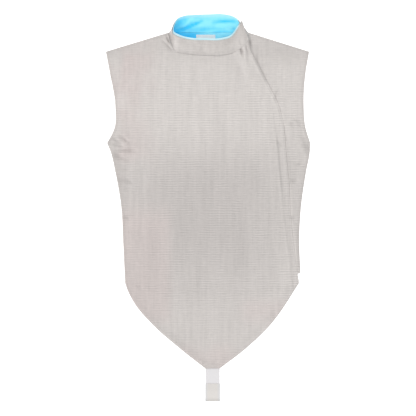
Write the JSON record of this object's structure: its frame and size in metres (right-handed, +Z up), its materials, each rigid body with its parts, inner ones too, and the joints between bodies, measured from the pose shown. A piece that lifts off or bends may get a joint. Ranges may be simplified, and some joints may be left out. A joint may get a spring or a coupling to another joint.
{
  "type": "foil lame",
  "caption": "Sleeveless metal-cloth fencing vest with a stand collar, blue collar lining, lapped side closure and pointed front with an elastic crotch strap, laid flat.",
  "frame": {"origin": "under the middle of the whole vest's box, on the surface it lies on", "axes": "+Z up from the surface, +Y towards the collar, +X towards the side closure on the wearer's left"},
  "size_m": [0.4699, 0.891, 0.0241],
  "materials": {
    "metal_cloth": "ribbed weave of fine metal thread, soft grey with a faint warm sheen",
    "blue_lining": "smooth bright sky-blue lining cloth, slightly shiny",
    "white_label": "plain white woven label",
    "white_elastic": "matt off-white woven elastic",
    "white_tab": "matt off-white folded webbing end"
  },
  "bodies": {
    "root": {"front": "metal_cloth", "side_front": "metal_cloth", "back": "metal_cloth", "collar": "metal_cloth", "collar_lining": "blue_lining", "neck_lining": "blue_lining", "label": "white_label", "crotch_strap": "white_elastic", "strap_tab": "white_tab"}
  },
  "joints": []
}
